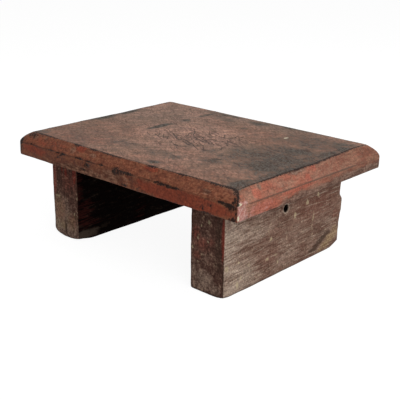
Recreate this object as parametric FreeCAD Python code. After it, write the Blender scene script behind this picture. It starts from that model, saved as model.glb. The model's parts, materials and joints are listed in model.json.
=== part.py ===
"""Low plank stool: a bevelled seat plank on two slab legs.

Millimetres, +Z up. The origin is on the floor, under the middle of the seat. X runs along the seat from
the left leg to the right leg, and Y runs from the front edge to the back edge.

Each leg has a dovetail tongue along its top. It slides from the back into a trench in the seat's
underside that stops short of the front, so the joint doesn't show from there. A dovetail key fills the
trench behind the leg, and a peg driven up through the key holds it.
"""

import FreeCAD, Part
import os
from FreeCAD import Vector

# Seat plank
SEAT_LENGTH = 400.0
SEAT_DEPTH = 308.0
SEAT_THICKNESS = 33.0
STOOL_HEIGHT = 150.0
BEVEL_WIDTH = 13.5
SIDE_BEVEL_DROP = 13.5
END_BEVEL_DROP = 15.5
FRONT_CORNER_RADIUS = 3.0
BACK_CORNER_RADIUS = 6.0

# Legs
LEG_THICKNESS = 53.5
LEG_DEPTH = 250.5
LEG_END_INSET = 39.2
LEG_FRONT_SETBACK = 25.5
LEG_ARRIS_RADIUS = 2.0
LEFT_TOE_RADIUS = 7.0
RIGHT_TOE_RADIUS = 3.0

# Back end of the right leg: its lower corner is knocked off and a split lump stands proud above that
BROKEN_HEEL_LENGTH = 24.0
BROKEN_HEEL_HEIGHT = 8.5
LUMP_FOOT = 37.0
LUMP_BOTTOM = 49.0
LUMP_TOP = 68.0
LUMP_SHOULDER = 73.0
LUMP_PROUD = 4.0

# Hole for a hanging cord, drilled straight through the right leg
CORD_HOLE_DIAMETER = 9.5
CORD_HOLE_DROP = 29.0
CORD_HOLE_FORWARD = 6.5

# Stopped sliding dovetail between each leg and the seat
TRENCH_DEPTH = 14.0
TONGUE_NECK = 30.0
DOVETAIL_FLARE = 4.0
TONGUE_TIP_GAP = 0.5
FRONT_SHOULDER = 12.0

# Pegs that hold the trench keys
PEG_DIAMETER = 7.0
PEG_LENGTH = 26.0
PEG_CLEARANCE = 0.05

# Places worked out from the sizes above
UNDERSIDE = STOOL_HEIGHT - SEAT_THICKNESS
FRONT = -SEAT_DEPTH / 2
BACK = SEAT_DEPTH / 2
LEG_FRONT = FRONT + LEG_FRONT_SETBACK
LEG_BACK = LEG_FRONT + LEG_DEPTH
LEG_CENTRE = SEAT_LENGTH / 2 - LEG_END_INSET - LEG_THICKNESS / 2
TONGUE_FRONT = LEG_FRONT + FRONT_SHOULDER
TONGUE_DEPTH = TRENCH_DEPTH - TONGUE_TIP_GAP
PEG_Y = (LEG_BACK + BACK) / 2

LEFT = -1
RIGHT = 1
X_AXIS = Vector(1, 0, 0)
Y_AXIS = Vector(0, 1, 0)
Z_AXIS = Vector(0, 0, 1)
PARALLEL = 0.99


def prism(points, run):
    """A solid swept along run from the flat outline through points."""
    return Part.Face(Part.makePolygon(points + points[:1])).extrude(run)


def edges_along(shape, axis, where):
    """The straight edges that run along an axis and have their middle where it should be."""
    straight = [edge for edge in shape.Edges if isinstance(edge.Curve, Part.Line)]
    along = [edge for edge in straight if abs(edge.Curve.Direction.dot(axis)) > PARALLEL]
    return [edge for edge in along if where(edge.CenterOfMass)]


def dovetail(side, depth, front, back):
    """A dovetail bar above a leg, as wide at each height as the trench that takes it."""
    centre = side * LEG_CENTRE
    neck = TONGUE_NECK / 2
    tip = neck + DOVETAIL_FLARE * depth / TRENCH_DEPTH
    section = [
        Vector(centre - neck, front, UNDERSIDE),
        Vector(centre + neck, front, UNDERSIDE),
        Vector(centre + tip, front, UNDERSIDE + depth),
        Vector(centre - tip, front, UNDERSIDE + depth),
    ]
    return prism(section, Y_AXIS * (back - front))


def peg(side, radius):
    """A round bar that stands up from the seat's underside, through the key and into the plank."""
    return Part.makeCylinder(radius, PEG_LENGTH, Vector(side * LEG_CENTRE, PEG_Y, UNDERSIDE))


def bevel_waste(outward, reach, half_length, drop):
    """The wedge that is planed off one upper edge of the plank."""
    along = Z_AXIS.cross(outward)
    start = along * -half_length
    section = [
        start + outward * (reach - BEVEL_WIDTH) + Z_AXIS * STOOL_HEIGHT,
        start + outward * reach + Z_AXIS * STOOL_HEIGHT,
        start + outward * reach + Z_AXIS * (STOOL_HEIGHT - drop),
    ]
    return prism(section, along * (2 * half_length))


def seat_plank():
    """The plank, with worn corners, four bevels, two dovetail trenches and the pegs' holes."""
    corner = Vector(-SEAT_LENGTH / 2, FRONT, UNDERSIDE)
    plank = Part.makeBox(SEAT_LENGTH, SEAT_DEPTH, SEAT_THICKNESS, corner)
    plank = plank.makeFillet(FRONT_CORNER_RADIUS, edges_along(plank, Z_AXIS, lambda middle: middle.y < 0))
    plank = plank.makeFillet(BACK_CORNER_RADIUS, edges_along(plank, Z_AXIS, lambda middle: middle.y > 0))

    for way in (-1, 1):
        end_waste = bevel_waste(X_AXIS * way, SEAT_LENGTH / 2, SEAT_DEPTH / 2, END_BEVEL_DROP)
        side_waste = bevel_waste(Y_AXIS * way, SEAT_DEPTH / 2, SEAT_LENGTH / 2, SIDE_BEVEL_DROP)
        plank = plank.cut(end_waste).cut(side_waste)

    for side in (LEFT, RIGHT):
        plank = plank.cut(dovetail(side, TRENCH_DEPTH, TONGUE_FRONT, BACK))
        plank = plank.cut(peg(side, PEG_DIAMETER / 2))
    return plank


def leg(side, toe_radius, back_end):
    """A slab leg with worn lower edges and its tongue. back_end is its outline at the back, going up."""
    outline = [Vector(0, LEG_FRONT, 0)] + back_end + [Vector(0, LEG_FRONT, UNDERSIDE)]
    slab = prism(outline, X_AXIS * LEG_THICKNESS)
    slab.translate(X_AXIS * (side * LEG_CENTRE - LEG_THICKNESS / 2))

    def at_toe(middle):
        return middle.y < 0 and middle.z < UNDERSIDE / 2

    slab = slab.makeFillet(toe_radius, edges_along(slab, X_AXIS, at_toe))
    front_edges = edges_along(slab, Z_AXIS, lambda middle: middle.y < 0)
    foot_edges = edges_along(slab, Y_AXIS, lambda middle: middle.z < UNDERSIDE / 2)
    slab = slab.makeFillet(LEG_ARRIS_RADIUS, front_edges + foot_edges)
    return slab.fuse(dovetail(side, TONGUE_DEPTH, TONGUE_FRONT, LEG_BACK)).removeSplitter()


def left_leg():
    """The leg under the left end, square at the back."""
    return leg(LEFT, LEFT_TOE_RADIUS, [Vector(0, LEG_BACK, 0), Vector(0, LEG_BACK, UNDERSIDE)])


def right_leg():
    """The leg under the right end, with its rough back end and the cord hole."""
    back_end = [
        Vector(0, LEG_BACK - BROKEN_HEEL_LENGTH, 0),
        Vector(0, LEG_BACK, BROKEN_HEEL_HEIGHT),
        Vector(0, LEG_BACK, LUMP_FOOT),
        Vector(0, LEG_BACK + LUMP_PROUD, LUMP_BOTTOM),
        Vector(0, LEG_BACK + LUMP_PROUD, LUMP_TOP),
        Vector(0, LEG_BACK, LUMP_SHOULDER),
        Vector(0, LEG_BACK, UNDERSIDE),
    ]
    start = Vector(LEG_CENTRE - LEG_THICKNESS, -CORD_HOLE_FORWARD, UNDERSIDE - CORD_HOLE_DROP)
    hole = Part.makeCylinder(CORD_HOLE_DIAMETER / 2, 2 * LEG_THICKNESS, start, X_AXIS)
    return leg(RIGHT, RIGHT_TOE_RADIUS, back_end).cut(hole)


def trench_key(side):
    """The block that fills a trench from the leg's back end to the plank's back edge."""
    return dovetail(side, TONGUE_DEPTH, LEG_BACK, BACK).cut(peg(side, PEG_DIAMETER / 2))


def key_peg(side):
    """The peg that holds a key, flush with the plank's underside."""
    return peg(side, PEG_DIAMETER / 2 - PEG_CLEARANCE)


def main():
    """Writes one file for each piece."""
    pieces = {
        "seat_plank": seat_plank(),
        "left_leg": left_leg(),
        "right_leg": right_leg(),
        "left_trench_key": trench_key(LEFT),
        "right_trench_key": trench_key(RIGHT),
        "left_key_peg": key_peg(LEFT),
        "right_key_peg": key_peg(RIGHT),
    }
    os.makedirs("parts", exist_ok=True)
    for name, shape in pieces.items():
        print(name, "valid" if shape.isValid() else "not valid", round(shape.Volume), "cubic mm")
        shape.exportStep(f"parts/{name}.step")


main()
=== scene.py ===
"""Looks of a low plank stool: worn red paint on the seat, weathered wood on the legs.

Shapes and marks are written in millimetres and become metres when a mesh is made. X runs along the seat, Y
from its front edge to its back edge, and Z up, as in the solids.
"""

import itertools
import json
import math
from types import SimpleNamespace

import bpy
import numpy as np
from mathutils import Matrix, Vector


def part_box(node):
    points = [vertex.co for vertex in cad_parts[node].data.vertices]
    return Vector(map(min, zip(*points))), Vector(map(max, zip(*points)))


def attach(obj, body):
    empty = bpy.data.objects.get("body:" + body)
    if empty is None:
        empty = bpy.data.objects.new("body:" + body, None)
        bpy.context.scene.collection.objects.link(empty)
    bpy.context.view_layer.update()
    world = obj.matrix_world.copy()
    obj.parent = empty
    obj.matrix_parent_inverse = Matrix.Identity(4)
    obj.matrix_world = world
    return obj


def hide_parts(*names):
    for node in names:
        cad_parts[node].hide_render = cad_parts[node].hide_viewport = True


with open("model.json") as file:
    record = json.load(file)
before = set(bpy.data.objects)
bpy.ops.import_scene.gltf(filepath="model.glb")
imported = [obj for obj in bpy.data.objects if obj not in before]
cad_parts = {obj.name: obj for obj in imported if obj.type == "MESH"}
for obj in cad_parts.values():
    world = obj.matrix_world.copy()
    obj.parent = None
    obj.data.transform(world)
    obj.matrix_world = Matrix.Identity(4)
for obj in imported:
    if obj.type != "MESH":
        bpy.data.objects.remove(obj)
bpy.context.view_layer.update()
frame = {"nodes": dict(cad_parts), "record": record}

MM = 0.001


def box_mm(node):
    """A node's lowest and highest corners, in millimetres."""
    low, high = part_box(node)
    return np.array(low) / MM, np.array(high) / MM


# Sizes read from the solids
SEAT_LOW, SEAT_HIGH = box_mm("seat_plank")
LEFT_LOW, LEFT_HIGH = box_mm("left_leg")
RIGHT_LOW, RIGHT_HIGH = box_mm("right_leg")
HALF_LENGTH = SEAT_HIGH[0]
HALF_DEPTH = SEAT_HIGH[1]
TOP = SEAT_HIGH[2]
UNDERSIDE = SEAT_LOW[2]
LEG_FRONT = LEFT_LOW[1]
LEG_BACK = LEFT_HIGH[1]
TONGUE_TOP = LEFT_HIGH[2]
CORD_HOLE = next(mount for mount in frame["record"]["mounts"] if mount["name"] == "cord_hole")
HOLE_PLACE = np.array(CORD_HOLE["pos_m"]) / MM
HOLE_RADIUS = CORD_HOLE["dims"]["r_mm"]

# Joinery, as in the solids
TRENCH_DEPTH = 14.0
TONGUE_NECK = 30.0
DOVETAIL_FLARE = 4.0
FRONT_SHOULDER = 12.0

# How far a trench's cutter passes the plank, and a tongue's root goes down into its leg
CUTTER_REACH = 5.0
TONGUE_ROOT = 8.0

# Grid of the meshes
EDGE_STEPS = np.array([0.0, 0.6, 1.3, 2.1, 3.1, 4.4])
SEAT_STEP = 2.0
LEG_STEP = 1.5
WEAR_ROUNDS = 40

# Numbers that scramble the place of a grid cell into a random value
SEED_SHIFT = 31.7
CELL_PRIMES = (73856093, 19349663, 83492791)
SCRAMBLERS = ((13, 1274126177), (15, 22695477))
SCRAMBLED_BITS = 0x7FFFFFFF
VALUE_BITS = 0xFFFF

# How squarely a face looks one way, from not at all to fully, to count as facing there
FACES_UP = (0.8, 0.97)
FACES_DOWN = (0.5, 0.9)
SEAT_FACES_OUT = (0.3, 0.7)
LEG_FACES_OUT = (0.4, 0.8)

# A distance that is beyond every mark, and one that is as good as none
FAR = 99.0
TINY = 1e-9


# Shapes

def value_noise(points, size, seed):
    """Smooth random values from -1 to 1 that change over about size millimetres."""
    cell = points / size + SEED_SHIFT * seed
    base = np.floor(cell).astype(np.int64)
    part = cell - base
    part = part * part * (3 - 2 * part)
    total = np.zeros(len(points))
    for corner in itertools.product((0, 1), repeat=3):
        code = np.bitwise_xor.reduce((base + corner) * CELL_PRIMES, axis=1)
        for shift, factor in SCRAMBLERS:
            code = (code ^ (code >> shift)) * factor & SCRAMBLED_BITS
        weight = np.prod(np.where(corner, part, 1 - part), axis=1)
        total += weight * (2 * (code & VALUE_BITS) / VALUE_BITS - 1)
    return total


def rough(points, size, seed, octaves=3):
    """Value noise with finer and weaker layers added."""
    layers = [value_noise(points, size / 2**k, seed + k) / 2**k for k in range(octaves)]
    return sum(layers)


def smoothstep(low, high, value):
    """A smooth ramp from 0 at low to 1 at high."""
    part = np.clip((value - low) / (high - low), 0, 1)
    return part * part * (3 - 2 * part)


def along(table, places):
    """A size that is given at a few places and runs straight from each to the next."""
    return np.interp(places, *zip(*table))


def fading(gap, reach):
    """1 where a gap is 0, fading smoothly to nothing beyond about its reach."""
    return np.exp(-((gap / reach) ** 2))


def spaced(low, high, step):
    """Grid places from low to high, closer together at both ends, where the edges are worn."""
    first = low + EDGE_STEPS
    last = high - EDGE_STEPS[::-1]
    count = max(1, round((last[0] - first[-1]) / step))
    middle = np.linspace(first[-1], last[0], count + 1)[1:-1]
    return np.concatenate([first, middle, last])


def box_skin(xs, ys, zs):
    """Points and quads of a box's skin with grid lines at xs, ys and zs."""
    shape = (len(xs), len(ys), len(zs))
    number = np.arange(np.prod(shape)).reshape(shape)
    sides = [
        number[:, :, -1], number[:, :, 0].T,
        number[-1], number[0].T,
        number[:, -1].T, number[:, 0],
    ]
    quads = [
        np.stack([side[:-1, :-1], side[1:, :-1], side[1:, 1:], side[:-1, 1:]], -1).reshape(-1, 4)
        for side in sides
    ]
    used, quads = np.unique(np.concatenate(quads), return_inverse=True)
    i, j, k = np.unravel_index(used, shape)
    return np.stack([xs[i], ys[j], zs[k]], -1), quads.reshape(-1, 4)


def round_edge(points, first, second, radius):
    """Rounds a box's edge, where two coordinates, each (axis, place, outward way), meet."""
    parts = []
    for axis, place, way in (first, second):
        parts.append(1 - way * (place - points[:, axis]) / radius)
    parts = np.clip(np.stack(parts), 0, None)
    shrink = parts.max(axis=0) / np.maximum(np.linalg.norm(parts, axis=0), TINY)
    inside = parts.min(axis=0) > 0
    for (axis, place, way), part in zip((first, second), parts):
        moved = place - way * radius * (1 - part * shrink)
        points[:, axis] = np.where(inside, moved, points[:, axis])


def worn(points, quads, weight):
    """The points after rubbing: each moves towards the middle of its neighbours by its weight, many times."""
    pairs = np.concatenate([quads[:, [k, (k + 1) % 4]] for k in range(4)])
    count = np.bincount(pairs.ravel(), minlength=len(points))[:, None]
    weight = np.clip(weight, 0, 1)[:, None]
    for _ in range(WEAR_ROUNDS):
        total = np.zeros_like(points)
        np.add.at(total, pairs[:, 0], points[pairs[:, 1]])
        np.add.at(total, pairs[:, 1], points[pairs[:, 0]])
        points = points + weight * (total / count - points)
    return points


def face_normals(points, quads):
    """Unit normals at the points, from the quads around them."""
    across = np.cross(points[quads[:, 2]] - points[quads[:, 0]], points[quads[:, 3]] - points[quads[:, 1]])
    total = np.zeros_like(points)
    for k in range(4):
        np.add.at(total, quads[:, k], across)
    return total / np.linalg.norm(total, axis=1)[:, None]


def marks(points, places):
    """The strongest of some soft-edged spots, each (centre, radii, strength), at every point."""
    field = np.zeros(len(points))
    for centre, radii, strength in places:
        reach = np.sum(((points - np.array(centre)) / np.array(radii)) ** 2, axis=1)
        field = np.maximum(field, strength * np.clip(1 - reach, 0, 1))
    return field


def mark_fields(faces):
    """The strongest mark of each name at every point, on faces of (share there, places, marks by name)."""
    fields = {}
    for share, places, named in faces:
        for name, spots in named.items():
            fields[name] = np.maximum(fields.get(name, 0), share * marks(places, spots))
    return fields


def linked(name, data):
    """A new object in the scene, from its data."""
    thing = bpy.data.objects.new(name, data)
    bpy.context.collection.objects.link(thing)
    return thing


def new_object(name, points, faces):
    """An object from points in millimetres."""
    mesh = bpy.data.meshes.new(name)
    mesh.from_pydata((np.asarray(points) * MM).tolist(), [], faces)
    return linked(name, mesh)


def smooth_object(name, points, quads):
    """A smooth-shaded object from points in millimetres."""
    thing = new_object(name, points, quads.tolist())
    thing.data.shade_smooth()
    return thing


def dovetail_bar(low, high, depth, foot, back):
    """A dovetail bar above a leg's box, used to cut its trench or to make its tongue."""
    centre = (low[0] + high[0]) / 2
    front = LEG_FRONT + FRONT_SHOULDER
    neck = TONGUE_NECK / 2
    tip = neck + DOVETAIL_FLARE * depth / TRENCH_DEPTH
    section = [
        (-neck, foot), (neck, foot), (neck, UNDERSIDE),
        (tip, UNDERSIDE + depth), (-tip, UNDERSIDE + depth), (-neck, UNDERSIDE),
    ]
    points = [(centre + x, y, z) for y in (front, back) for x, z in section]
    size = len(section)
    faces = [tuple(range(size)), tuple(reversed(range(size, 2 * size)))]
    faces += [(k, k + size, (k + 1) % size + size, (k + 1) % size) for k in range(size)]
    return new_object("bar", points, faces)


def drill(centre, radius, rim, thickness, sides=48):
    """A round bar along X that cuts a hole through a board and widens it at both faces."""
    reach = thickness / 2
    rings = [(reach - rim, radius), (reach + rim, radius + 2 * rim)]
    rings = [(-x, size) for x, size in reversed(rings)] + rings
    turn = np.linspace(0, 2 * math.pi, sides, endpoint=False)
    points = [
        centre + np.array([x, size * math.cos(angle), size * math.sin(angle)])
        for x, size in rings
        for angle in turn
    ]
    last = sides * (len(rings) - 1)
    faces = [tuple(reversed(range(sides))), tuple(range(last, last + sides))]
    for start in range(0, last, sides):
        for k in range(sides):
            after = (k + 1) % sides
            faces.append((start + k, start + after, start + after + sides, start + k + sides))
    return new_object("drill", points, faces)


def joined(thing, tool, way):
    """Cuts a tool from a thing, or unites them, and removes the tool."""
    step = thing.modifiers.new("join", "BOOLEAN")
    step.operation = way
    step.solver = "EXACT"
    step.object = tool
    shown = thing.evaluated_get(bpy.context.evaluated_depsgraph_get())
    mesh = bpy.data.meshes.new_from_object(shown)
    thing.modifiers.clear()
    thing.data = mesh
    mesh.name = thing.name
    bpy.data.objects.remove(tool)


def mesh_points(thing):
    """A mesh's points in millimetres, and their normals."""
    mesh = thing.data
    points = np.empty(len(mesh.vertices) * 3)
    normals = np.empty(len(mesh.vertices) * 3)
    mesh.vertices.foreach_get("co", points)
    mesh.vertex_normals.foreach_get("vector", normals)
    return points.reshape(-1, 3) / MM, normals.reshape(-1, 3)


def set_fields(thing, fields):
    """Keeps one number of each name for every point of a mesh, for its material to read."""
    for name, values in fields.items():
        layer = thing.data.attributes.new(name, "FLOAT", "POINT")
        layer.data.foreach_set("value", np.asarray(values, dtype=np.float32))


# Materials

# How far a pattern moves for each seed, in metres along X, Y and Z
PATTERN_SHIFT = (0.173, 0.051, 0.097)


def across_top(angle):
    """The turn that lays a pattern on a level face, at an angle from X."""
    return 0, 0, angle


def colour(red, green, blue):
    """A colour given as it looks on a screen, from 0 to 255, as the shaders need it."""
    parts = [part / 255 for part in (red, green, blue)]
    return *(part / 12.92 if part <= 0.04045 else ((part + 0.055) / 1.055) ** 2.4 for part in parts), 1.0


def grey(level):
    """A grey as the shaders need it."""
    return level, level, level, 1.0


class Nodes:
    """Nodes made by short calls, which take numbers, colours or the outputs of other calls."""

    def __init__(self, tree):
        self.tree = tree

    def feed(self, socket, source):
        """Gives a socket a plain value or another node's output."""
        if isinstance(source, bpy.types.NodeSocket):
            self.tree.links.new(source, socket)
        else:
            socket.default_value = source

    def node(self, kind, inputs=None, **settings):
        """A new node with its settings and inputs."""
        made = self.tree.nodes.new(kind)
        for name, value in settings.items():
            setattr(made, name, value)
        for key, source in (inputs or {}).items():
            self.feed(made.inputs[key], source)
        return made

    def maths(self, way, first, second):
        """Two numbers put together, by the name of a Math node's operation."""
        return self.node("ShaderNodeMath", {0: first, 1: second}, operation=way).outputs[0]

    def seen_directly(self):
        """1 for rays that show a thing itself: to the camera, in a gloss or through glass."""
        path = self.node("ShaderNodeLightPath").outputs
        either = self.maths("MAXIMUM", path["Is Camera Ray"], path["Is Glossy Ray"])
        return self.maths("MAXIMUM", either, path["Is Transmission Ray"])


class Look(Nodes):
    """A material made by the same calls and by some for its colours."""

    def __init__(self, name):
        self.material = bpy.data.materials.new(name)
        self.material.use_nodes = True
        super().__init__(self.material.node_tree)
        self.shader = self.tree.nodes["Principled BSDF"]
        self.place = self.node("ShaderNodeTexCoord").outputs["Object"]

    def total(self, *parts):
        """The sum of (value, share) pairs."""
        shares = [self.maths("MULTIPLY", value, share) for value, share in parts]
        result = shares[0]
        for share in shares[1:]:
            result = self.maths("ADD", result, share)
        return result

    def field(self, name):
        """A number kept for every point of the mesh by set_fields."""
        return self.node("ShaderNodeAttribute", attribute_name=name).outputs["Fac"]

    def step(self, value, low, high):
        """A smooth ramp from 0 at low to 1 at high."""
        inputs = {"Value": value, "From Min": low, "From Max": high}
        return self.node("ShaderNodeMapRange", inputs, interpolation_type="SMOOTHSTEP").outputs["Result"]

    def ragged(self, field, noise, share, softness):
        """A field turned into patches, with edges that a noise breaks up by its share."""
        value = self.maths("ADD", field, self.total((noise, share)))
        middle = 0.5 + share / 2
        return self.step(value, middle - softness, middle + softness)

    def patches(self, field, noise, share, softness):
        """Ragged patches, with no stray specks where the field is zero."""
        patches = self.ragged(field, noise, share, softness)
        return self.maths("MULTIPLY", patches, self.step(field, 0.02, 0.25))

    def mapped(self, sizes, seed, turn):
        """The place on the object, turned by degrees about each axis and measured in steps of sizes in mm."""
        inputs = {
            "Vector": self.place,
            "Location": [part * seed for part in PATTERN_SHIFT],
            "Rotation": [math.radians(angle) for angle in turn],
            "Scale": [size * MM for size in sizes],
        }
        return self.node("ShaderNodeMapping", inputs, vector_type="TEXTURE").outputs[0]

    def noise(self, size, seed, stretch=(1, 1, 1), detail=3.0, turn=(0, 0, 0), bend=0.0):
        """Noise with bumps of about size millimetres, made longer along each axis by stretch, and bent."""
        place = self.mapped([size * part for part in stretch], seed, turn)
        inputs = {"Vector": place, "Scale": 1.0, "Detail": detail, "Roughness": 0.6, "Distortion": bend}
        return self.node("ShaderNodeTexNoise", inputs).outputs["Fac"]

    def hairs(self, noise, width):
        """Thin wandering lines: 1 where a noise passes its middle, and 0 beyond a width from there."""
        gap = self.maths("SUBTRACT", noise, 0.5)
        return self.step(self.maths("MULTIPLY", gap, gap), width * width, 0.0)

    def cuts(self, field, seed, angle):
        """Long shallow cuts across a level face, at about an angle from X, where a field is strong."""
        lines = self.hairs(self.noise(5.5, seed, (5, 1, 1), detail=0.5, turn=across_top(angle)), 0.085)
        broken = self.noise(11, seed + 1, (3, 1, 1), detail=1, turn=across_top(angle))
        return self.maths("MULTIPLY", lines, self.ragged(field, broken, 3.0, 0.5))

    def mix(self, amount, first, second, strength=1.0):
        """The first colour where the amount is 0 and the second, by its strength, where it is 1."""
        if strength != 1.0:
            amount = self.maths("MULTIPLY", amount, strength)
        return self.node("ShaderNodeMix", {0: amount, 6: first, 7: second}, data_type="RGBA").outputs[2]

    def between(self, value, low, high, first, second):
        """A colour that goes from the first to the second as a value goes from low to high."""
        return self.mix(self.step(value, low, high), first, second)

    def shaded(self, base, value, spread):
        """A colour made darker and lighter by a noise, by up to about a spread."""
        inputs = {"Value": value, "From Min": 0.25, "From Max": 0.75}
        inputs |= {"To Min": 1 - spread, "To Max": 1 + spread}
        factor = self.node("ShaderNodeMapRange", inputs, clamp=False).outputs["Result"]
        return self.node("ShaderNodeVectorMath", {0: base, "Scale": factor}, operation="SCALE").outputs[0]

    def finish(self, base, roughness, height, gloss):
        """Sets the surface's colour, roughness, height in millimetres and gloss, and returns the material."""
        bump = self.node("ShaderNodeBump", {"Height": height, "Distance": MM, "Strength": 1.0})
        self.shader.inputs["Specular IOR Level"].default_value = gloss
        self.feed(self.shader.inputs["Base Color"], base)
        self.feed(self.shader.inputs["Roughness"], roughness)
        self.feed(self.shader.inputs["Normal"], bump.outputs["Normal"])
        return self.material


# Shape of the seat

# The bevels as they were planed: how far the lower arris lies below the top, at places along each side
FRONT_DROP = [(-200, 14.8), (-120, 14.2), (0, 13.2), (120, 14.2), (185, 13.2), (200, 12.0)]
RIGHT_DROP = [(-154, 12.0), (-130, 14.8), (0, 15.6), (100, 16.4), (154, 17.0)]
BACK_DROP = [(-200, 15.0), (200, 17.0)]
LEFT_DROP = [(-154, 14.8), (154, 15.0)]

# How far the upper arris lies in from the edge, at places along each side
FRONT_INSET = [(-183, 14.0), (-53, 11.0), (-4, 10.3), (49, 12.0), (134, 15.0), (184, 14.0)]
RIGHT_INSET = [
    (-139, 12.8), (-120, 13.9), (-66, 13.3), (-30, 13.5), (8, 12.0), (60, 14.8), (113, 17.0), (140, 15.0),
]
BACK_INSET = [(-188, 12.2), (186, 13.4)]
LEFT_INSET = [(-139, 14.4), (142, 11.7)]

# Corners of the plank seen from above, as rubbed round at the lower arris
CORNER_RADII = {(-1, -1): 2.2, (1, -1): 2.0, (-1, 1): 5.0, (1, 1): 3.0}
CORNER_BULGE = 1.0
CORNER_REACH = 25.0

# Radii of the lower edge at the left end and the right end
LOWER_EDGE_RADII = {-1: 3.0, 1: 2.5}

# How much the edges and corners are rubbed, and how far from them
EDGE_RUB = 0.09
EDGE_RUB_REACH = 2.0
CORNER_RUB = 0.15
CORNER_RUB_REACH = 5.0

# Depths of the plank's long waves and of its short ones
SEAT_WAVES = 0.35
SEAT_RIPPLES = 0.12

# The depth of a knock of strength 1, and the knocks along the edges, each (centre, radii, strength)
KNOCK_DEPTH = 1.6
SEAT_GOUGES = [
    ((-72, -154, 136.6), (11, 3, 2.0), 1.2), ((-57, -154, 130.5), (6, 3, 4.0), 1.3),
    ((-63, -154, 123.0), (8, 2, 2.6), 0.9), ((-53, -154, 136.6), (6, 3, 1.8), 1.0),
    ((-29, -154, 136.8), (6, 3, 1.8), 1.3), ((-4, -154, 132.5), (5, 3, 6.0), 0.95),
    ((-2, -153, 138.6), (9, 3, 3.0), 0.8), ((7, -154, 134.8), (13, 3, 4.4), 1.0),
    ((22, -154, 135.8), (14, 3, 3.0), 1.05), ((13, -154, 119.5), (9, 2, 2.6), 0.9),
    ((78, -154, 136.4), (14, 3, 3.4), 1.6), ((91, -154, 135.4), (8, 3, 3.0), 1.5),
    ((101, -154, 136.4), (10, 3, 3.2), 1.4), ((146, -154, 122.8), (4, 2, 4.0), 1.0),
    ((160, -154, 128.0), (3, 2, 2.6), 0.9), ((176, -154, 135.6), (9, 3, 2.4), 1.6),
    ((187, -154, 134.6), (11, 4, 3.0), 1.8), ((189, -154, 131.6), (3, 3, 3.4), 1.2),
    ((195.5, -154, 133.5), (3.5, 2.5, 3.5), 1.2), ((195.5, -154, 120.5), (3.5, 2.5, 4.0), 0.9),
    ((197, -154, 127.5), (2.6, 2, 8.0), 0.7), ((193.5, -152, 139.0), (4, 4, 5.0), 1.0),
    ((-171, -154, 136.4), (14, 2, 1.8), 1.5), ((-131, -154, 137.0), (14, 2, 1.6), 1.3),
    ((-108, -154, 135.6), (13, 2, 2.0), 1.5),
]


def perimeter(front, right, back, left, points):
    """A size that is given along the plank's four sides, at points on or inside its outline."""
    x, y = points[:, 0], points[:, 1]
    sides = [along(front, x), along(right, y), along(back, x), along(left, y)]
    gaps = [y + HALF_DEPTH, HALF_LENGTH - x, HALF_DEPTH - y, x + HALF_LENGTH]
    return np.choose(np.argmin(gaps, axis=0), sides)


def insets(x, y):
    """How far the upper arris lies in from the nearer end and from the nearer side."""
    end_inset = np.where(x > 0, along(RIGHT_INSET, y), along(LEFT_INSET, y))
    side_inset = np.where(y < 0, along(FRONT_INSET, x), along(BACK_INSET, x))
    return end_inset, side_inset


def average(table):
    """The mean of the sizes in a table."""
    return np.mean([size for _, size in table])


def seat_shape():
    """The plank's points and quads, with planed bevels, rubbed edges and knocks.

    The grid's levels run from 0 at the underside to 1 at the lower arris and 2 at the upper one.
    """
    side_height = TOP - UNDERSIDE - average(FRONT_DROP)
    bevel_width = math.hypot(average(FRONT_DROP), average(FRONT_INSET))
    side_rows = spaced(0, side_height, SEAT_STEP) / side_height
    bevel_rows = 1 + spaced(0, bevel_width, SEAT_STEP) / bevel_width
    xs = spaced(-HALF_LENGTH, HALF_LENGTH, SEAT_STEP)
    ys = spaced(-HALF_DEPTH, HALF_DEPTH, SEAT_STEP)
    grid, quads = box_skin(xs, ys, np.concatenate([side_rows, bevel_rows[1:]]))

    x, y, level = grid.T.copy()
    arris = TOP - perimeter(FRONT_DROP, RIGHT_DROP, BACK_DROP, LEFT_DROP, grid)
    up_side = np.clip(level, 0, 1)
    up_bevel = np.clip(level - 1, 0, 1)
    for (way_x, way_y), radius in CORNER_RADII.items():
        round_edge(grid, (0, way_x * HALF_LENGTH, way_x), (1, way_y * HALF_DEPTH, way_y), radius)
    from_end = HALF_LENGTH - np.abs(x)
    from_side = HALF_DEPTH - np.abs(y)
    from_edge = np.minimum(from_end, from_side)
    from_corner = np.maximum(from_end, from_side)
    end_inset, side_inset = insets(x, y)
    drawn_in = up_bevel ** (1 + CORNER_BULGE * fading(from_corner, CORNER_REACH))
    points = np.stack([
        grid[:, 0] * (1 - drawn_in * end_inset / HALF_LENGTH),
        grid[:, 1] * (1 - drawn_in * side_inset / HALF_DEPTH),
        UNDERSIDE + up_side * (arris - UNDERSIDE) + up_bevel * (TOP - arris),
    ], -1)
    for way, radius in LOWER_EDGE_RADII.items():
        round_edge(points, (0, way * HALF_LENGTH, way), (2, UNDERSIDE, -1), radius)

    on_skirt = from_edge < TINY
    to_lines = [level * side_height, np.abs(level - 1) * side_height, np.abs(level - 2) * bevel_width]
    to_arris = np.where(on_skirt, np.min(to_lines, axis=0), from_edge)
    rub = EDGE_RUB * fading(to_arris, EDGE_RUB_REACH) * (1 + 0.9 * rough(points, 18, 3))
    corner_rub = CORNER_RUB * fading(from_corner, CORNER_RUB_REACH)
    points = worn(points, quads, np.maximum(rub, np.where(on_skirt, corner_rub, 0)))

    normals = face_normals(points, quads)
    waver = SEAT_WAVES * rough(points, 70, 11) + SEAT_RIPPLES * rough(points, 14, 12)
    knocks = KNOCK_DEPTH * (0.6 + 0.4 * rough(points, 3, 14)) * marks(points, SEAT_GOUGES)
    return points + normals * (waver - knocks)[:, None], quads


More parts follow.
